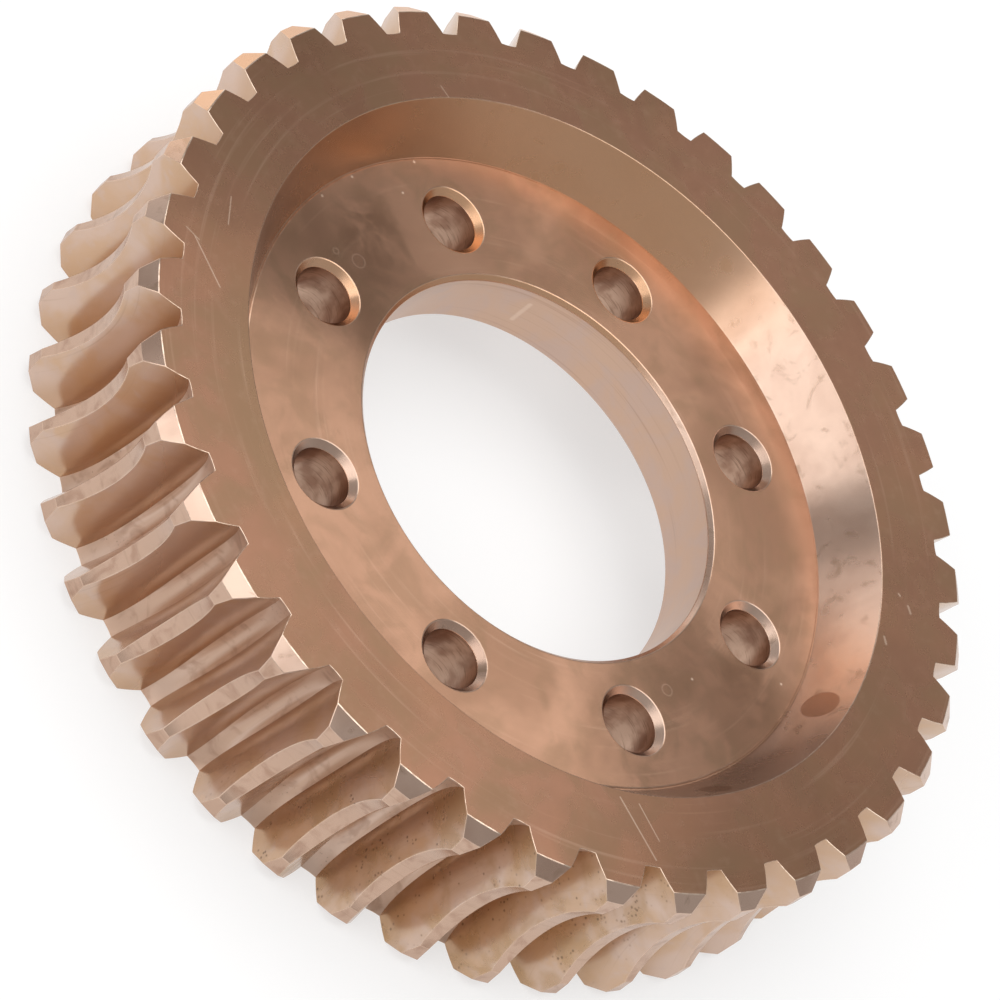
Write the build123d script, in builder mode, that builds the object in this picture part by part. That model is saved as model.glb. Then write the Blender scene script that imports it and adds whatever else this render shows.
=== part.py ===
"""Worm wheel rim: a throated bronze worm gear that bolts to its hub through the web.

One piece, millimetres.  The wheel lies flat, its axis on +Z, and the origin is
where the axis meets the mid-plane of the throat, the plane that holds the axis
of the worm.  +Z is the side with the shallow recess.

The tooth spaces are cut as a hob leaves them.  In any plane square to the wheel
axis the worm thread is a rack, so each section of the cutter is the form that
this rack sweeps as it rolls on the pitch circle.
"""

import os
from math import atan2, cos, hypot, pi, radians, sin, sqrt, tan

from build123d import *

os.makedirs("parts", exist_ok=True)

# ---- the worm drive ---------------------------------------------------------
module = 10.0                 # axial module of the worm
teeth = 38
worm_starts = 1
diameter_quotient = 16.0      # worm pitch diameter / module
profile_shift = 0.2           # of the wheel, in modules
pressure_angle = 20.0
clearance = 0.2               # under the worm's crest, in modules
tooth_phase = 0.66            # degrees from the +X bolt hole to a tooth centre

# ---- the blank --------------------------------------------------------------
face_width = 95.0
outside_diameter = 419.0      # over the cylindrical lands
end_chamfer = 6.0             # 45 degrees, at both ends of the teeth
arc_spans = 7                 # straight spans that follow the arcs along the face

# ---- the web and its recesses -----------------------------------------------
recess_diameter = 323.0       # of both recesses, on the end faces
recess_draft = 29.5           # degrees, of the conical recess walls
front_depth = 25.0
web_thickness = 34.0

# ---- the register bore and the bolt holes -----------------------------------
bore_diameter = 177.0
bore_chamfer = 2.0
bolt_count = 8
bolt_inset = 1.43             # of the bolt circle, from the middle of the web's front ring
bolt_hole = 26.0              # clearance for M24
bolt_chamfer = 3.0

# ---- sizes that follow ------------------------------------------------------
pitch_radius = module * teeth / 2
worm_radius = module * diameter_quotient / 2
centre_distance = pitch_radius + worm_radius + profile_shift * module
hob_radius = worm_radius + (1 + clearance) * module
throat_radius = worm_radius - module
lead = pi * module * worm_starts
half_width = face_width / 2
outside_radius = outside_diameter / 2
recess_radius = recess_diameter / 2
back_depth = face_width - front_depth - web_thickness
web_front = half_width - front_depth
web_back = web_front - web_thickness
taper = tan(radians(recess_draft))
front_floor = recess_radius - front_depth * taper
back_floor = recess_radius - back_depth * taper
bore_radius = bore_diameter / 2
bolt_circle_radius = (bore_radius + front_floor) / 2 - bolt_inset
cutter_reach = outside_radius + 3.0      # how far out the gap cutter goes
cutter_over = 1.5                        # how far it passes the end faces


# ---- one point of the cutter ------------------------------------------------
def flank_point(rho, z, side):
    """Where the thread's flank, at radius rho of the worm, leaves the wheel at height z."""

    def rack(r):
        h = sqrt(r * r - z * z)
        half = pi * module / 4 - (r - worm_radius) * tan(radians(pressure_angle))
        return centre_distance - h, side * half + lead / (2 * pi) * atan2(z, h)

    x, y = rack(rho)
    x1, y1 = rack(rho + 1e-4)
    roll = -y - (x - pitch_radius) * (x1 - x) / (y1 - y)
    turn = -roll / pitch_radius
    y += roll
    return (x * cos(turn) - y * sin(turn), x * sin(turn) + y * cos(turn))


def flank(z, side):
    """The flank from the root out to beyond the lands, in two straight steps."""
    outer = hypot(centre_distance - cutter_reach, z)
    return [flank_point(rho, z, side) for rho in (hob_radius, (hob_radius + outer) / 2, outer)]


# The throat and the spaces are both made of short straight spans between the same heights.
cut_end = half_width + cutter_over
heights = [cut_end * (2 * i / arc_spans - 1) for i in range(arc_spans + 1)]

with BuildPart() as gap:
    for z in heights:
        with BuildSketch(Plane.XY.offset(z)):
            with BuildLine():
                left, right = flank(z, 1), flank(z, -1)
                Polyline(*left, *reversed(right), close=True)
            make_face()
    loft(ruled=True)


def round_edges(piece, radius):
    """The piece's circular edges of one radius."""
    return piece.edges().filter_by(GeomType.CIRCLE).filter_by(lambda edge: abs(edge.radius - radius) < 0.01)


# ---- the turned blank, its throat, and the teeth in it ----------------------------------
with BuildPart() as worm_wheel:
    with BuildSketch(Plane.XZ):
        with BuildLine():
            Polyline(
                (bore_radius, web_front),
                (front_floor, web_front),
                (recess_radius, half_width),
                (outside_radius - end_chamfer, half_width),
                (outside_radius, half_width - end_chamfer),
                (outside_radius, end_chamfer - half_width),
                (outside_radius - end_chamfer, -half_width),
                (recess_radius, -half_width),
                (back_floor, web_back),
                (bore_radius, web_back),
                close=True,
            )
        make_face()
    revolve(axis=Axis.Z)

    # the throat, round the worm
    with BuildSketch(Plane.XZ):
        with BuildLine():
            throat = [(centre_distance - sqrt(throat_radius**2 - z * z), z) for z in heights]
            Polyline(*throat, (centre_distance, cut_end), (centre_distance, -cut_end), close=True)
        make_face()
    revolve(axis=Axis.Z, mode=Mode.SUBTRACT)

    # both ends of the register bore are chamfered
    chamfer(round_edges(worm_wheel, bore_radius), bore_chamfer)

    # bolt holes, chamfered where the bolt heads seat
    with BuildSketch(Plane.XY.offset(web_back)):
        with PolarLocations(bolt_circle_radius, bolt_count):
            Circle(bolt_hole / 2)
    extrude(amount=web_thickness, mode=Mode.SUBTRACT)
    chamfer(round_edges(worm_wheel, bolt_hole / 2).group_by(Axis.Z)[-1], bolt_chamfer)

    # the tooth spaces
    with PolarLocations(0, teeth, start_angle=tooth_phase + 180 / teeth):
        add(gap.part, mode=Mode.SUBTRACT)

worm_wheel.part.label = "worm_wheel"
export_step(worm_wheel.part, "parts/worm_wheel.step")
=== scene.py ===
"""The look of the worm wheel rim: its finished surfaces, the studio and the camera.

Lengths are in metres.  The wheel's axis is Z, the origin is at the middle of
its throat, and +Z is the side with the shallow recess.
"""

from math import atan2, cos, hypot, pi, radians, sin, sqrt, tan

import bmesh
import bpy
from mathutils import Matrix, Vector


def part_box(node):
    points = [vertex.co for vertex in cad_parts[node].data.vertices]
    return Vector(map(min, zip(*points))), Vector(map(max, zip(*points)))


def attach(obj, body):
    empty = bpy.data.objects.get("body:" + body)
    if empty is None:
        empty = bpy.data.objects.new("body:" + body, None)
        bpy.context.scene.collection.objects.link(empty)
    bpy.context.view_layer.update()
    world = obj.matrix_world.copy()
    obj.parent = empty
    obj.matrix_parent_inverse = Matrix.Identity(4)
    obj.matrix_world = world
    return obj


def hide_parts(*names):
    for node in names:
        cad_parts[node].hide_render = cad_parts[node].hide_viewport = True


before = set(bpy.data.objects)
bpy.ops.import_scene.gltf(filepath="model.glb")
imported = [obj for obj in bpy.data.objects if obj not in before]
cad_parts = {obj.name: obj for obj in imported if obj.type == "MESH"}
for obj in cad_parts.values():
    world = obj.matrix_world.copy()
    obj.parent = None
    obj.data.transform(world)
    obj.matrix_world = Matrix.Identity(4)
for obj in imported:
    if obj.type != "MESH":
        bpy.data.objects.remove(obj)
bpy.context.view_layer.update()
wheel_high = Vector(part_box("worm_wheel")[1])

# ---- the wheel's sizes -------------------------------------------------------
MM = 0.001
MODULE = 10 * MM
TEETH = 38
PITCH = 2 * pi / TEETH
PITCH_RADIUS = MODULE * TEETH / 2
WORM_RADIUS = 8 * MODULE
WHEEL_SHIFT = 0.2 * MODULE
CENTRE_DISTANCE = PITCH_RADIUS + WORM_RADIUS + WHEEL_SHIFT
HOB_RADIUS = WORM_RADIUS + 1.2 * MODULE
THROAT_RADIUS = WORM_RADIUS - MODULE
THREAD_RISE = MODULE / 2      # how far the one-start thread moves on in a turn of one radian
FLANK_SLOPE = tan(radians(20))
TOOTH_PHASE = radians(0.66)

OUTER_RADIUS = wheel_high.x
HALF_WIDTH = wheel_high.z
END_CHAMFER = 6 * MM
LAND_HALF = sqrt(THROAT_RADIUS**2 - (CENTRE_DISTANCE - OUTER_RADIUS) ** 2)
RECESS_RADIUS = 161.5 * MM
RECESS_TAPER = tan(radians(29.5))
WEB_FRONT = HALF_WIDTH - 25 * MM
WEB_BACK = WEB_FRONT - 34 * MM
BORE_RADIUS = 88.5 * MM
BORE_CHAMFER = 2 * MM
BOLT_CIRCLE_RADIUS = 116.5 * MM
BOLT_COUNT = 8
BOLT_RADIUS = 13 * MM
BOLT_CHAMFER = 3 * MM
BOLT_BACK_CHAMFER = 1.5 * MM

# ---- how finely it is made -----------------------------------------------------
ROOT_STEPS = 3        # across half a root
FLANK_STEPS = 8       # up one flank
TIP_STEPS = 2         # across half a tooth's tip
THROAT_STEPS = 22     # along the throat
CHAMFER_STEPS = 2     # down a tooth's end chamfer
RING_STEPS = 304      # round a turned edge
HOLE_STEPS = 56       # round a bolt hole
EDGE_WIDTH = 0.3 * MM                # of the small breaks on the sharp edges
GROOVE = 0.9 * MM                    # across the tool's groove in the recess corner
SAME_PLACE = 0.001 * MM              # points nearer than this are one
BROKEN_FROM = radians(24)            # edges sharper than this are broken
SHARP_FROM = radians(30)             # and shading is kept apart across these

# ---- its finishes, in the order of the mesh's material slots ---------------------
FACE, WEB, WALL, BORE, DRILLED, FLANK, ROOT, TIP = range(8)


# ==============================================================================
# The shape of a tooth space
# ==============================================================================
def blank_radius(z):
    """The radius of the turned blank, before the teeth were cut, at height z."""
    if abs(z) < LAND_HALF:
        return CENTRE_DISTANCE - sqrt(THROAT_RADIUS**2 - z * z)
    return OUTER_RADIUS - max(0, abs(z) - (HALF_WIDTH - END_CHAMFER))


def flank_point(rho, z, side):
    """Where the worm's flank, at its radius rho, leaves the wheel at height z: radius and angle."""

    def rack(r):
        h = sqrt(r * r - z * z)
        half = pi * MODULE / 4 - (r - WORM_RADIUS) * FLANK_SLOPE
        return CENTRE_DISTANCE - h, side * half + THREAD_RISE * atan2(z, h)

    x, y = rack(rho)
    x1, y1 = rack(rho + SAME_PLACE)
    roll = -y - (x - PITCH_RADIUS) * (x1 - x) / (y1 - y)
    y += roll
    return hypot(x, y), atan2(y, x) - roll / PITCH_RADIUS


def rho_at_tip(z, side):
    """The worm's radius at which the flank reaches the blank's surface."""
    low, high = hypot(CENTRE_DISTANCE - OUTER_RADIUS - 3 * MM, z), HOB_RADIUS
    for _ in range(30):
        middle = (low + high) / 2
        if flank_point(middle, z, side)[0] > blank_radius(z):
            low = middle
        else:
            high = middle
    return high


def half_space(z, side):
    """Radius and angle of the points from the root's corner up to the tip's edge."""
    tip = rho_at_tip(z, side)
    return [
        flank_point(HOB_RADIUS + (tip - HOB_RADIUS) * i / FLANK_STEPS, z, side)
        for i in range(FLANK_STEPS + 1)
    ]


def space_across(z):
    """Radius and angle of each point across one pitch, from a tooth's middle to the next one's."""
    left, right = half_space(z, 1), half_space(z, -1)
    tip_radius = blank_radius(z)
    root_radius = CENTRE_DISTANCE - sqrt(HOB_RADIUS**2 - z * z)
    middle = (left[-1][1] + right[-1][1] + PITCH) / 2
    row = []
    for i in range(TIP_STEPS):
        share = i / TIP_STEPS
        row.append((tip_radius, (middle - PITCH) * (1 - share) + right[-1][1] * share))
    row += reversed(right)
    for i in range(1, 2 * ROOT_STEPS):
        share = i / (2 * ROOT_STEPS)
        bulge = 4 * share * (1 - share)
        radius = right[0][0] * (1 - share) + left[0][0] * share
        angle = right[0][1] * (1 - share) + left[0][1] * share
        row.append((radius + (root_radius - radius) * bulge, angle))
    row += left
    for i in range(1, TIP_STEPS + 1):
        share = i / TIP_STEPS
        row.append((tip_radius, left[-1][1] * (1 - share) + middle * share))
    return row


def heights():
    """The heights of the rows along the face, closer together where the blank turns."""
    end = [HALF_WIDTH - END_CHAMFER * i / CHAMFER_STEPS for i in range(CHAMFER_STEPS + 1)]
    land_outer = HALF_WIDTH - END_CHAMFER
    land = [land_outer + (LAND_HALF - land_outer) * i / 3 for i in (1, 2)]
    throat = [LAND_HALF * (1 - 2 * i / THROAT_STEPS) for i in range(THROAT_STEPS + 1)]
    top = end + land
    return top + throat + [-z for z in reversed(top)]


# ==============================================================================
# The wheel's mesh
# ==============================================================================
def space_finish(column):
    """Which finish a column of faces has, counted across one tooth space."""
    from_middle = abs(column + 0.5 - (TIP_STEPS + FLANK_STEPS + ROOT_STEPS))
    if from_middle < ROOT_STEPS:
        return ROOT
    return FLANK if from_middle < ROOT_STEPS + FLANK_STEPS else TIP


def add_teeth(bm):
    """One tooth space as a grid, then spun round the wheel."""
    rows = heights()
    columns = 2 * (ROOT_STEPS + FLANK_STEPS + TIP_STEPS)
    grid = bmesh.ops.create_grid(bm, x_segments=columns, y_segments=len(rows) - 1, size=1)
    surface = [space_across(z) for z in rows]
    for face in bm.faces:
        centre = face.calc_center_median()
        face.material_index = space_finish(int((centre.x + 1) / 2 * columns))
        rows_from_end = (1 - abs(centre.y)) / 2 * (len(rows) - 1)
        if face.material_index == TIP and rows_from_end < CHAMFER_STEPS:
            face.material_index = WALL
        face.smooth = True
    for vert in grid["verts"]:
        i = round((vert.co.x + 1) / 2 * columns)
        j = round((1 - vert.co.y) / 2 * (len(rows) - 1))
        radius, angle = surface[j][i]
        angle += TOOTH_PHASE + PITCH / 2
        vert.co = (radius * cos(angle), radius * sin(angle), rows[j])
    bmesh.ops.spin(
        bm, geom=bm.verts[:] + bm.edges[:] + bm.faces[:], cent=(0, 0, 0), axis=(0, 0, 1),
        dvec=(0, 0, 0), angle=2 * pi, steps=TEETH, use_merge=True, use_duplicate=True,
    )
    bmesh.ops.remove_doubles(bm, verts=bm.verts[:], dist=SAME_PLACE)


def add_ring(bm, radius, z, centre=(0, 0), steps=RING_STEPS):
    """A circle of edges, level, at height z."""
    place = Matrix.Translation((*centre, z))
    ring = bmesh.ops.create_circle(bm, segments=steps, radius=radius, matrix=place)
    return list(dict.fromkeys(edge for vert in ring["verts"] for edge in vert.link_edges))


def turn_on(bm, edges, radius, z, finish, centre=(0, 0)):
    """Carry a ring on to another radius and height, with the surface between; returns the new ring."""
    made = bmesh.ops.extrude_edge_only(bm, edges=edges)["geom"]
    for face in made:
        if isinstance(face, bmesh.types.BMFace):
            face.smooth = True
            face.material_index = finish
    middle = Vector((*centre, 0))
    for vert in (item for item in made if isinstance(item, bmesh.types.BMVert)):
        out = (vert.co - middle).xy.normalized() * radius
        vert.co = (middle.x + out.x, middle.y + out.y, z)
    return [item for item in made if isinstance(item, bmesh.types.BMEdge) and item.is_boundary]


def join(bm, first, second, finish):
    """The wall between two equal rings."""
    for face in bmesh.ops.bridge_loops(bm, edges=first + second)["faces"]:
        face.smooth = True
        face.material_index = finish


def fill_flat(bm, edges, finish):
    """A flat face between rings at one height."""
    made = bmesh.ops.triangle_fill(bm, use_beauty=True, use_dissolve=False, edges=edges)["geom"]
    for face in (item for item in made if isinstance(item, bmesh.types.BMFace)):
        face.material_index = finish


def add_side(bm, sign):
    """One end face with its recess and web; returns the bore's ring and the holes' rings."""
    face_z = HALF_WIDTH * sign
    web_z = WEB_FRONT if sign > 0 else WEB_BACK
    outline = [
        edge for edge in bm.edges
        if edge.is_boundary and all(abs(vert.co.z - face_z) < SAME_PLACE for vert in edge.verts)
    ]
    rim = add_ring(bm, RECESS_RADIUS, face_z)
    fill_flat(bm, outline + rim, FACE)

    floor_radius = RECESS_RADIUS - abs(face_z - web_z) * RECESS_TAPER
    corner = turn_on(bm, rim, floor_radius + 0.3 * GROOVE, web_z + sign * 0.5 * GROOVE, WALL)
    corner = turn_on(bm, corner, floor_radius - 0.2 * GROOVE, web_z - sign * 0.35 * GROOVE, WALL)
    corner = turn_on(bm, corner, floor_radius - 0.9 * GROOVE, web_z - sign * 0.35 * GROOVE, WEB)
    corner = turn_on(bm, corner, floor_radius - 1.4 * GROOVE, web_z, WEB)

    bore = add_ring(bm, BORE_RADIUS + BORE_CHAMFER, web_z)
    chamfer = BOLT_CHAMFER if sign > 0 else BOLT_BACK_CHAMFER
    places = []
    for i in range(BOLT_COUNT):
        angle = 2 * pi * i / BOLT_COUNT
        places.append((BOLT_CIRCLE_RADIUS * cos(angle), BOLT_CIRCLE_RADIUS * sin(angle)))
    holes = [add_ring(bm, BOLT_RADIUS + chamfer, web_z, place, HOLE_STEPS) for place in places]
    fill_flat(bm, corner + bore + [edge for hole in holes for edge in hole], WEB)

    bore = turn_on(bm, bore, BORE_RADIUS, web_z - sign * BORE_CHAMFER, WALL)
    holes = [
        turn_on(bm, hole, BOLT_RADIUS, web_z - sign * chamfer, WALL, place)
        for hole, place in zip(holes, places)
    ]
    return bore, holes


def break_edges(bm):
    """A small rounded break on every sharp edge, marked so that its finish can show it rubbed bright."""
    rubbed = bm.faces.layers.float.new("rubbed")
    sharp = [
        edge for edge in bm.edges
        if len(edge.link_faces) == 2 and edge.calc_face_angle_signed(0) > BROKEN_FROM
    ]
    made = bmesh.ops.bevel(
        bm, geom=sharp, offset=EDGE_WIDTH, offset_type="OFFSET", affect="EDGES", segments=2,
        profile=0.5, material=-1, clamp_overlap=True,
    )
    for face in made["faces"]:
        centre = face.calc_center_median()
        on_teeth = abs(centre.z) > HALF_WIDTH - 2 * EDGE_WIDTH and centre.xy.length > RECESS_RADIUS + 10 * MM
        face[rubbed] = 1 if on_teeth else 0.25
    for face in bm.faces:
        face.smooth = True
    for edge in bm.edges:
        first, second = edge.link_faces
        if edge.calc_face_angle() > SHARP_FROM or (first[rubbed] > 0) != (second[rubbed] > 0):
            edge.smooth = False


def make_wheel():
    """The whole wheel as one closed mesh."""
    bm = bmesh.new()
    add_teeth(bm)
    front_bore, front_holes = add_side(bm, 1)
    back_bore, back_holes = add_side(bm, -1)
    join(bm, front_bore, back_bore, BORE)
    for front, back in zip(front_holes, back_holes):
        join(bm, front, back, DRILLED)
    bmesh.ops.remove_doubles(bm, verts=bm.verts[:], dist=SAME_PLACE)
    bmesh.ops.recalc_face_normals(bm, faces=bm.faces[:])
    break_edges(bm)
    mesh = bpy.data.meshes.new("wheel")
    bm.to_mesh(mesh)
    bm.free()
    wheel = bpy.data.objects.new("turned_and_hobbed_wheel", mesh)
    bpy.context.collection.objects.link(wheel)
    return wheel


# ==============================================================================
# How a finish is written
# ==============================================================================
TURNED = 0.25        # a quarter turn: highlights spread across the lathe's marks


class Signal:
    """A value that changes over a surface; each operator adds the Math node for it."""

    def __init__(self, finish, socket):
        self.finish = finish
        self.socket = socket

    def math(self, operation, first, second=0.0):
        return self.finish.add("ShaderNodeMath", {"operation": operation}, {0: first, 1: second})

    def __add__(self, other):
        return self.math("ADD", self, other)

    __radd__ = __add__

    def __sub__(self, other):
        return self.math("SUBTRACT", self, other)

    def __rsub__(self, other):
        return self.math("SUBTRACT", other, self)

    def __mul__(self, other):
        return self.math("MULTIPLY", self, other)

    __rmul__ = __mul__

    def __truediv__(self, other):
        return self.math("DIVIDE", self, other)

    def __pow__(self, power):
        return self.math("POWER", self, power)

    def larger(self, other):
        return self.math("MAXIMUM", self, other)


class Finish:
    """A material under way: it adds nodes, and keeps the places that its patterns are laid out by."""

    def __init__(self, name):
        self.material = bpy.data.materials.new(name)
        self.material.use_nodes = True
        self.tree = self.material.node_tree
        self.shader = self.tree.nodes["Principled BSDF"]
        self.place = self.add("ShaderNodeTexCoord", {}, {}, "Object")
        self.x, self.y, self.z = (self.add("ShaderNodeSeparateXYZ", {}, {0: self.place}, i) for i in range(3))
        self.radius = (self.x * self.x + self.y * self.y) ** 0.5

    def add(self, kind, settings, inputs, output=0):
        """One node, its settings made before its inputs are fed."""
        node = self.tree.nodes.new(kind)
        for name, value in settings.items():
            setattr(node, name, value)
        for key, value in inputs.items():
            self.feed(node.inputs[key], value)
        return Signal(self, node.outputs[output])

    def feed(self, socket, value):
        if isinstance(value, Signal):
            self.tree.links.new(value.socket, socket)
        else:
            socket.default_value = value

    def vector(self, x, y, z):
        return self.add("ShaderNodeCombineXYZ", {}, {0: x, 1: y, 2: z})

    def blend(self, first, second, share):
        """A colour between two, which are (r, g, b) or signals."""
        colours = [c if isinstance(c, Signal) else (*c, 1) for c in (first, second)]
        inputs = {0: share, 6: colours[0], 7: colours[1]}
        return self.add("ShaderNodeMix", {"data_type": "RGBA"}, inputs, 2)

    def rise(self, value, low, high):
        """0 below low, 1 above high and smooth between; a low above high falls instead."""
        settings = {"interpolation_type": "SMOOTHSTEP"}
        top, bottom = (high, low) if low < high else (low, high)
        mask = self.add(
            "ShaderNodeMapRange", settings, {"Value": value, "From Min": bottom, "From Max": top},
        )
        return mask if low < high else 1 - mask

    def noise(self, where, seed, detail=2.0, rough=0.5, scale=1.0, warp=0.0):
        inputs = {
            "Vector": where, "W": seed, "Scale": scale, "Detail": detail, "Roughness": rough,
            "Distortion": warp,
        }
        return self.add("ShaderNodeTexNoise", {"noise_dimensions": "4D"}, inputs)

    def clouds(self, size, seed, detail=3.0, warp=0.0):
        """Soft patches about `size` across."""
        return self.noise(self.place, seed, detail, scale=1 / size, warp=warp)

    def lathe_marks(self, across, around, seed, detail=2.0):
        """Streaks that run round the axis: `across` wide and `around` long."""
        feed = (self.radius + self.z) / across
        reach = RECESS_RADIUS / around
        where = self.vector(feed, self.x / self.radius * reach, self.y / self.radius * reach)
        return self.noise(where, seed, detail)

    def specks(self, size, spacing, seed):
        """Small dots, each `size` across and about `spacing` apart."""
        where = self.add("ShaderNodeMapping", {}, {"Vector": self.place, "Location": (seed, seed, seed)})
        inputs = {"Vector": where, "Scale": 1 / spacing, "Randomness": 1.0}
        distance = self.add("ShaderNodeTexVoronoi", {}, inputs)
        return self.rise(distance, size / spacing, 0.4 * size / spacing)

    def from_point(self, point):
        """How far the surface is from a point."""
        return self.add("ShaderNodeVectorMath", {"operation": "DISTANCE"}, {0: self.place, 1: point}, 1)

    def scratch(self, start, end, width):
        """A straight scratch between two points, 1 along its middle."""
        start, end = Vector(start), Vector(end)
        run = end - start
        arm = self.add("ShaderNodeVectorMath", {"operation": "SUBTRACT"}, {0: self.place, 1: start})
        along = self.add(
            "ShaderNodeVectorMath", {"operation": "DOT_PRODUCT"}, {0: arm, 1: run / run.length_squared}, 1,
        )
        share = self.add("ShaderNodeMath", {"operation": "ADD", "use_clamp": True}, {0: along, 1: 0.0})
        nearest = self.add("ShaderNodeVectorMath", {"operation": "SCALE"}, {0: run, "Scale": share})
        off = self.add("ShaderNodeVectorMath", {"operation": "DISTANCE"}, {0: arm, 1: nearest}, 1)
        return self.rise(off, width, 0.3 * width)

    def drop(self, point, radius, width):
        """The ring that a dried drop leaves."""
        off = self.from_point(point) - radius
        return self.rise(self.add("ShaderNodeMath", {"operation": "ABSOLUTE"}, {0: off}), width, 0.2 * width)

    def complete(self, colour, roughness, height, depth, drawn=0.0, metal=1.0):
        """Feed the shader; `height` runs from 0 to 1 over `depth`, and the lathe's marks draw
        highlights out by `drawn`."""
        self.feed(self.shader.inputs["Base Color"], colour)
        self.feed(self.shader.inputs["Roughness"], roughness)
        self.shader.inputs["Metallic"].default_value = metal
        self.shader.inputs["Anisotropic"].default_value = drawn
        self.shader.inputs["Anisotropic Rotation"].default_value = TURNED
        bump = self.add("ShaderNodeBump", {}, {"Height": height, "Distance": depth, "Strength": 1.0})
        self.feed(self.shader.inputs["Normal"], bump)
        return self.material


def at(radius, angle, z):
    """A place on the wheel: radius in millimetres, angle in degrees from the +X bolt hole."""
    return (radius * MM * cos(radians(angle)), radius * MM * sin(radians(angle)), z)


# ==============================================================================
# The wheel's finishes
# ==============================================================================
FRESH = (0.60, 0.41, 0.305)
BRIGHT = (0.82, 0.64, 0.51)
BROWN = (0.30, 0.155, 0.098)
DEEP_BROWN = (0.22, 0.117, 0.07)
OLIVE = (0.25, 0.151, 0.088)
RED_BROWN = (0.33, 0.168, 0.1)
ORANGE_REFLECTION = (0.74, 0.42, 0.235)
SMUT = (0.16, 0.095, 0.06)


def rubbed_edge(finish, colour, roughness):
    """Brighten the broken edges, unevenly, as handling leaves them."""
    edge = finish.add("ShaderNodeAttribute", {"attribute_name": "rubbed"}, {}, "Fac")
    uneven = finish.rise(finish.clouds(4 * MM, 3.1), 0.35, 0.6)
    share = edge * (0.35 + 0.6 * uneven)
    return finish.blend(colour, BRIGHT, share), roughness - 0.06 * share


def make_faced_side():
    """The end faces: faced on the lathe, since gone brown, with smears, nicks and scratches."""
    finish = Finish("faced_side")
    wide = finish.clouds(95 * MM, 0.7, warp=0.6)
    middle = finish.clouds(26 * MM, 5.2, detail=4, warp=0.8)
    fine = finish.clouds(5 * MM, 9.4, detail=3)
    rings = finish.lathe_marks(2.2 * MM, 90 * MM, 2.3, detail=3)
    colour = finish.blend(BROWN, DEEP_BROWN, finish.rise(wide, 0.38, 0.66) * 0.65)
    colour = finish.blend(colour, OLIVE, finish.rise(middle, 0.38, 0.68) * 0.7)
    rim = finish.rise(finish.radius, 186 * MM, 164 * MM) * finish.rise(
        finish.from_point(at(166, 264, HALF_WIDTH)), 90 * MM, 30 * MM,
    )
    colour = finish.blend(colour, OLIVE, rim * (0.5 + 0.6 * middle))
    colour = finish.blend(colour, RED_BROWN, finish.rise(finish.clouds(40 * MM, 12.9), 0.46, 0.7) * 0.45)
    colour = finish.blend(colour, FRESH, finish.rise(rings, 0.56, 0.78) * 0.2)
    colour = finish.blend(colour, FRESH, finish.rise(fine, 0.5, 0.85) * 0.08)
    marks = finish.specks(0.45 * MM, 16 * MM, 4.4) * finish.rise(finish.clouds(30 * MM, 7.7), 0.54, 0.64)
    for start, end, width in (
        ((164.9, 343.6), (190.1, 348.0), 0.5),
        ((166.2, 346.8), (181.5, 349.1), 0.4),
        ((189.1, 240.1), (175.3, 246.0), 0.45),
        ((193.6, 239.4), (187.0, 240.3), 0.35),
        ((167.2, 181.7), (160.9, 180.9), 0.4),
        ((178.5, 231.0), (176.0, 235.5), 0.4),
        ((177.4, 60.2), (175.9, 61.2), 0.9),
        ((166.8, 52.6), (165.2, 53.6), 0.9),
        ((171.3, 62.3), (170.6, 62.5), 0.8),
    ):
        marks = marks.larger(finish.scratch(at(*start, HALF_WIDTH), at(*end, HALF_WIDTH), width * MM))
    colour = finish.blend(colour, BRIGHT, marks * 0.36)
    roughness = 0.18 + 0.14 * middle + 0.05 * fine
    colour, roughness = rubbed_edge(finish, colour, roughness)
    grooves = finish.lathe_marks(0.5 * MM, 60 * MM, 6.6, detail=1)
    height = grooves + fine
    return finish.complete(colour, roughness, height, 0.008 * MM, drawn=0.7)


def make_turned_web():
    """The web's faces in the recesses: stained, with dried drops."""
    finish = Finish("turned_web")
    wide = finish.clouds(60 * MM, 21.3, warp=0.8)
    middle = finish.clouds(18 * MM, 25.2, detail=4, warp=1.0)
    fine = finish.clouds(4 * MM, 29.4, detail=3)
    rings = finish.lathe_marks(1.6 * MM, 70 * MM, 22.3, detail=3)
    colour = finish.blend((0.43, 0.243, 0.158), DEEP_BROWN, finish.rise(wide, 0.4, 0.66) * 0.55)
    colour = finish.blend(colour, OLIVE, finish.rise(middle, 0.4, 0.68) * 0.4)
    colour = finish.blend(colour, FRESH, finish.rise(rings, 0.55, 0.8) * 0.2)
    stains = finish.rise(finish.from_point(at(126.8, 32.4, WEB_FRONT)), 24 * MM, 8 * MM)
    stains = stains.larger(finish.rise(finish.from_point(at(118.5, 203, WEB_FRONT)), 26 * MM, 8 * MM))
    colour = finish.blend(colour, DEEP_BROWN, stains * finish.rise(middle, 0.3, 0.6) * 0.7)
    marks = finish.specks(0.4 * MM, 17 * MM, 2.4) * finish.rise(finish.clouds(25 * MM, 27.7), 0.54, 0.64)
    for radius, angle in (
        (144.2, 207.9), (144.8, 199.2), (144.8, 184.1), (131.3, 190), (108.2, 21.9), (138.7, 40.3),
    ):
        marks = marks.larger(finish.rise(finish.from_point(at(radius, angle, WEB_FRONT)), 0.9 * MM, 0.4 * MM))
    for radius, angle, size in ((113.9, 211.9, 3.2), (123.5, 214.8, 1.4), (107.1, 13.1, 2.6)):
        marks = marks.larger(finish.drop(at(radius, angle, WEB_FRONT), size * MM, 0.6 * MM) * 0.25)
    colour = finish.blend(colour, BRIGHT, marks * 0.6)
    roughness = 0.13 + 0.05 * middle + 0.04 * fine
    colour, roughness = rubbed_edge(finish, colour, roughness)
    grooves = finish.lathe_marks(0.5 * MM, 60 * MM, 26.6, detail=1)
    height = grooves + fine
    return finish.complete(colour, roughness, height, 0.008 * MM, drawn=1.0)


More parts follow.
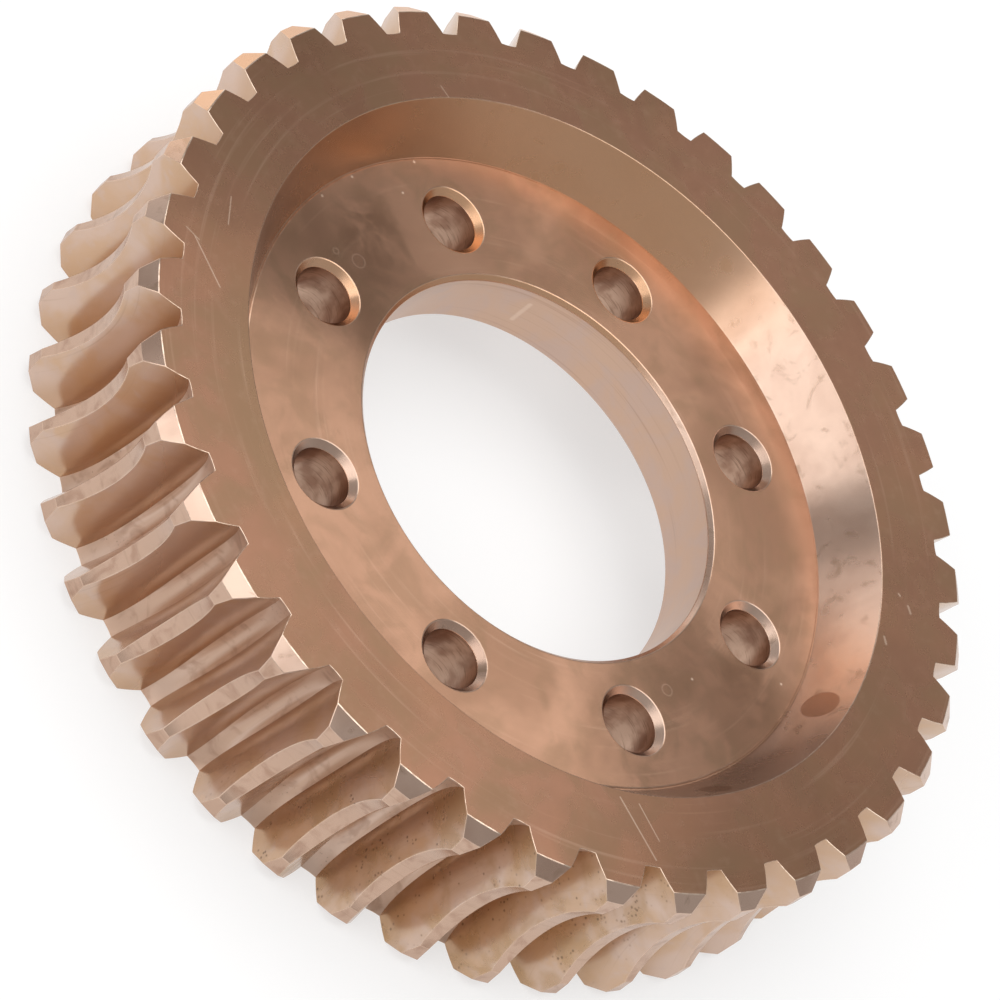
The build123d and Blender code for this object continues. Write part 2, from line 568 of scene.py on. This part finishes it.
def make_recess_wall():
    """The conical recess walls and all the chamfers: smooth and bright, with a few stains, and a painted
    orange reflection on the side towards 172 degrees.
    """
    finish = Finish("recess_wall")
    wide = finish.clouds(40 * MM, 31.3, warp=0.6)
    middle = finish.clouds(11 * MM, 35.2, detail=4, warp=1.2)
    colour = finish.blend((0.64, 0.46, 0.365), BROWN, finish.rise(wide, 0.4, 0.7) * 0.4)
    colour = finish.blend(colour, OLIVE, finish.rise(middle, 0.56, 0.7) * 0.4)
    # Painted reflection: the walls and chamfers on the side towards 172 degrees are tinted orange, as an
    # orange surrounding would show in them.
    reflection_side = at(1000, 172, 0)
    toward_painted_reflection = finish.add(
        "ShaderNodeVectorMath", {"operation": "DOT_PRODUCT"}, {0: finish.place, 1: reflection_side}, 1,
    ) / finish.radius
    colour = finish.blend(colour, ORANGE_REFLECTION, finish.rise(toward_painted_reflection, 0.35, 0.8) * 0.85)
    oval = finish.rise(finish.from_point(at(154.1, 38.1, 34.3 * MM)), 9.0 * MM, 8.2 * MM)
    low = finish.rise(finish.from_point(at(155.8, 5.8, 37.4 * MM)), 7.0 * MM, 6.4 * MM)
    colour = finish.blend(colour, RED_BROWN, oval.larger(low) * 0.75)
    marks = finish.specks(0.4 * MM, 9 * MM, 6.4) * finish.rise(finish.clouds(22 * MM, 37.7), 0.52, 0.62)
    colour = finish.blend(colour, BRIGHT, marks * 0.5)
    roughness = 0.18 + 0.1 * middle + 0.06 * wide
    colour, roughness = rubbed_edge(finish, colour, roughness)
    grooves = finish.lathe_marks(0.6 * MM, 60 * MM, 36.6, detail=1)
    height = grooves * 0.5 + middle * 0.5
    return finish.complete(colour, roughness, height, 0.008 * MM, drawn=0.5)


def make_register_bore():
    """The bore: finish-bored and pale, with wiped streaks."""
    finish = Finish("register_bore")
    middle = finish.clouds(20 * MM, 45.2, detail=4, warp=1.0)
    rings = finish.lathe_marks(1.2 * MM, 120 * MM, 42.3, detail=3)
    colour = finish.blend(FRESH, (0.58, 0.42, 0.345), finish.rise(middle, 0.4, 0.65))
    colour = finish.blend(colour, BROWN, finish.rise(rings, 0.55, 0.8) * 0.35)
    wipe = finish.scratch(at(88.5, 156.1, -0.2 * MM), at(88.5, 156.0, 12.6 * MM), 1.6 * MM)
    colour = finish.blend(colour, BRIGHT, wipe * 0.4)
    roughness = 0.26 + 0.12 * middle
    colour, roughness = rubbed_edge(finish, colour, roughness)
    return finish.complete(colour, roughness, rings, 0.008 * MM, drawn=0.5)


def make_drilled_hole():
    """The bolt holes: the drill's rings show."""
    finish = Finish("drilled_hole")
    where = finish.vector(finish.x / (9 * MM), finish.y / (9 * MM), finish.z / (0.7 * MM))
    streaks = finish.noise(where, 53.0, 3.0)
    patches = finish.clouds(9 * MM, 55.0)
    colour = finish.blend(FRESH, BROWN, finish.rise(patches, 0.4, 0.65) * 0.7)
    colour = finish.blend(colour, DEEP_BROWN, finish.rise(streaks, 0.52, 0.72) * 0.65)
    roughness = 0.27 + 0.12 * patches
    colour, roughness = rubbed_edge(finish, colour, roughness)
    return finish.complete(colour, roughness, streaks, 0.05 * MM)


def hob_reach(finish):
    """How far the surface is from the worm's axis."""
    inward = CENTRE_DISTANCE - finish.radius
    return (inward * inward + finish.z * finish.z) ** 0.5


def along_teeth(finish, across, along, seed):
    """Streaks that follow the hob along a tooth space: `across` wide and `along` long."""
    where = finish.vector(hob_reach(finish) / across, finish.x / along, finish.y / along)
    return finish.noise(where, seed, 3.0)


def make_hobbed_flank():
    """The teeth's flanks: cut by the hob, bright, with lengthwise marks, pits and brown stains. Painted shade
    makes them darker and more orange towards the roots, and the brown stains towards 330 degrees are partly
    painted shade for the darker ground reflected there.
    """
    finish = Finish("hobbed_flank")
    wide = finish.clouds(28 * MM, 61.3, warp=0.6)
    middle = finish.clouds(8 * MM, 65.2, detail=4, warp=1.0)
    cuts = along_teeth(finish, 1.1 * MM, 26 * MM, 62.0)
    colour = finish.blend((0.70, 0.52, 0.42), (0.66, 0.44, 0.285), finish.rise(wide, 0.42, 0.62) * 0.85)
    colour = finish.blend(colour, (0.66, 0.50, 0.42), finish.rise(middle, 0.5, 0.7) * 0.6)
    colour = finish.blend(colour, OLIVE, finish.rise(cuts, 0.58, 0.8) * 0.3)
    # Painted shade: the flanks turn darker and more orange towards the roots, standing for light bounced
    # between neighbouring teeth.
    painted_valley_shade = finish.rise(hob_reach(finish) + 5 * MM * wide, 78 * MM, 89 * MM)
    colour = finish.blend(colour, (0.60, 0.375, 0.215), painted_valley_shade * 0.6)
    # Partly real stains and pits, partly painted shade: the brown patches on the flanks towards 330 degrees
    # also stand for the darker ground reflected there.
    stained_and_darker_reflection_side = finish.rise(finish.from_point(at(205, 330, 0)), 130 * MM, 70 * MM)
    stains = stained_and_darker_reflection_side * finish.rise(finish.clouds(15 * MM, 67.7, warp=0.5), 0.4, 0.64)
    colour = finish.blend(colour, (0.50, 0.31, 0.16), stains * 0.7)
    pitted = stained_and_darker_reflection_side * finish.rise(finish.clouds(9 * MM, 69.7), 0.5, 0.6)
    pits = finish.specks(0.8 * MM, 2.4 * MM, 8.4) * pitted
    colour = finish.blend(colour, SMUT, pits * 0.7)
    roughness = 0.1 + 0.14 * middle + 0.05 * wide + 0.1 * stains
    colour, roughness = rubbed_edge(finish, colour, roughness)
    height = cuts * 0.5 + middle * 0.5 - 0.6 * pits
    return finish.complete(colour, roughness, height, 0.006 * MM, metal=0.7)


def make_hobbed_root():
    """The bottoms of the tooth spaces: pale and torn, with dark pores."""
    finish = Finish("hobbed_root")
    middle = finish.clouds(9 * MM, 75.2, detail=4, warp=1.0)
    cuts = along_teeth(finish, 0.9 * MM, 18 * MM, 72.0)
    colour = finish.blend(FRESH, (0.68, 0.50, 0.40), finish.rise(cuts, 0.4, 0.65))
    colour = finish.blend(colour, BROWN, finish.rise(middle, 0.5, 0.7) * 0.4)
    torn = finish.rise(finish.clouds(16 * MM, 77.7), 0.54, 0.64)
    pores = finish.specks(0.4 * MM, 1.6 * MM, 1.9) * torn
    colour = finish.blend(colour, SMUT, pores * 0.5)
    roughness = 0.3 + 0.15 * middle + 0.1 * torn
    colour, roughness = rubbed_edge(finish, colour, roughness)
    return finish.complete(colour, roughness, cuts - 0.5 * pores, 0.03 * MM, metal=0.8)


def make_turned_tip():
    """The teeth's tops: the turned blank's throat and lands."""
    finish = Finish("turned_tip")
    middle = finish.clouds(10 * MM, 85.2, detail=4, warp=1.0)
    rings = finish.lathe_marks(1.4 * MM, 50 * MM, 82.3, detail=3)
    colour = finish.blend((0.56, 0.385, 0.29), BROWN, finish.rise(middle, 0.46, 0.7) * 0.45)
    colour = finish.blend(colour, OLIVE, finish.rise(rings, 0.56, 0.8) * 0.3)
    roughness = 0.18 + 0.12 * middle
    colour, roughness = rubbed_edge(finish, colour, roughness)
    return finish.complete(colour, roughness, rings, 0.008 * MM, drawn=0.3)


wheel = make_wheel()
for make_finish in (
    make_faced_side, make_turned_web, make_recess_wall, make_register_bore,
    make_drilled_hole, make_hobbed_flank, make_hobbed_root, make_turned_tip,
):
    wheel.data.materials.append(make_finish())
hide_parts("worm_wheel")
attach(wheel, "root")

# ==============================================================================
# Studio and camera
# ==============================================================================
WORLD_LEVEL = 0.45
OVERHEAD_LEVEL = 1.5       # how bright the lamps look, where 1 is white
WINDOW_LEVEL = 1.65
SIDE_LEVEL = 1.0
FLOOR_PAINT = 0.42
FLOOR_GLOW = 0.6

scene = bpy.context.scene
scene.view_settings.view_transform = "Standard"


def add_floor():
    """A plain pale floor that is white to the camera and in the metal, and keeps the wheel's shadow."""
    mesh = bpy.data.meshes.new("floor")
    bm = bmesh.new()
    bmesh.ops.create_grid(bm, x_segments=1, y_segments=1, size=8)
    bmesh.ops.translate(bm, verts=bm.verts[:], vec=(0, 0, -HALF_WIDTH))
    bm.to_mesh(mesh)
    bm.free()
    floor = bpy.data.objects.new("studio_floor", mesh)
    scene.collection.objects.link(floor)
    paint = Finish("studio_floor")
    paint.shader.inputs["Base Color"].default_value = (FLOOR_PAINT, FLOOR_PAINT, FLOOR_PAINT, 1)
    paint.shader.inputs["Roughness"].default_value = 0.9
    paint.shader.inputs["Specular IOR Level"].default_value = 0
    seen, mirrored, through = (
        paint.add("ShaderNodeLightPath", {}, {}, name)
        for name in ("Is Camera Ray", "Is Glossy Ray", "Is Transmission Ray")
    )
    glow = seen.larger(mirrored).larger(through) * FLOOR_GLOW
    paint.feed(paint.shader.inputs["Emission Color"], paint.vector(glow, glow, glow))
    paint.shader.inputs["Emission Strength"].default_value = 1
    mesh.materials.append(paint.material)


def add_lamp(name, place, size, level):
    """A soft box that faces the wheel and looks `level` bright."""
    light = bpy.data.lights.new(name, "AREA")
    light.shape = "RECTANGLE"
    light.size, light.size_y = size
    light.energy = level * pi * size[0] * size[1]
    lamp = bpy.data.objects.new(name, light)
    lamp.location = place
    lamp.rotation_euler = (-Vector(place)).to_track_quat("-Z", "Y").to_euler()
    scene.collection.objects.link(lamp)


def from_wheel(distance, azimuth, height):
    """A point in the studio, seen from the wheel, with the angles in degrees."""
    azimuth, height = radians(azimuth), radians(height)
    level = distance * cos(height)
    return level * cos(azimuth), level * sin(azimuth), distance * sin(height)


add_floor()
world = bpy.data.worlds.new("studio")
scene.world = world
world.use_nodes = True
world.node_tree.nodes["Background"].inputs["Color"].default_value = (1, 1, 1, 1)
world.node_tree.nodes["Background"].inputs["Strength"].default_value = WORLD_LEVEL
add_lamp("overhead", from_wheel(2.2, 150, 81), (2.8, 2.8), OVERHEAD_LEVEL)
add_lamp("window", from_wheel(2.8, -92, 31), (3.2, 1.6), WINDOW_LEVEL)
add_lamp("side", from_wheel(3.0, -175, 7), (3.6, 0.8), SIDE_LEVEL)

# The camera looks down on the wheel and is rolled, so that the wheel's axis leans to the right.
CAMERA_AZIMUTH = radians(-64.53)
CAMERA_HEIGHT = radians(42.73)
CAMERA_ROLL = radians(52.48)
CAMERA_DISTANCE = 2.056
CAMERA_LENS = 177
AIM_RIGHT, AIM_UP = -4.3 * MM, -4.2 * MM

camera_data = bpy.data.cameras.new("camera")
camera_data.lens = CAMERA_LENS
camera_data.sensor_width = 36
camera = bpy.data.objects.new("camera", camera_data)
scene.collection.objects.link(camera)
scene.camera = camera
toward = Vector((
    cos(CAMERA_HEIGHT) * cos(CAMERA_AZIMUTH), cos(CAMERA_HEIGHT) * sin(CAMERA_AZIMUTH), sin(CAMERA_HEIGHT),
))
level = toward.to_track_quat("Z", "Y").to_matrix().to_4x4()
turned = level @ Matrix.Rotation(CAMERA_ROLL, 4, "Z")
aim = turned @ Vector((AIM_RIGHT, AIM_UP, 0))
camera.matrix_world = Matrix.Translation(aim + toward * CAMERA_DISTANCE) @ turned
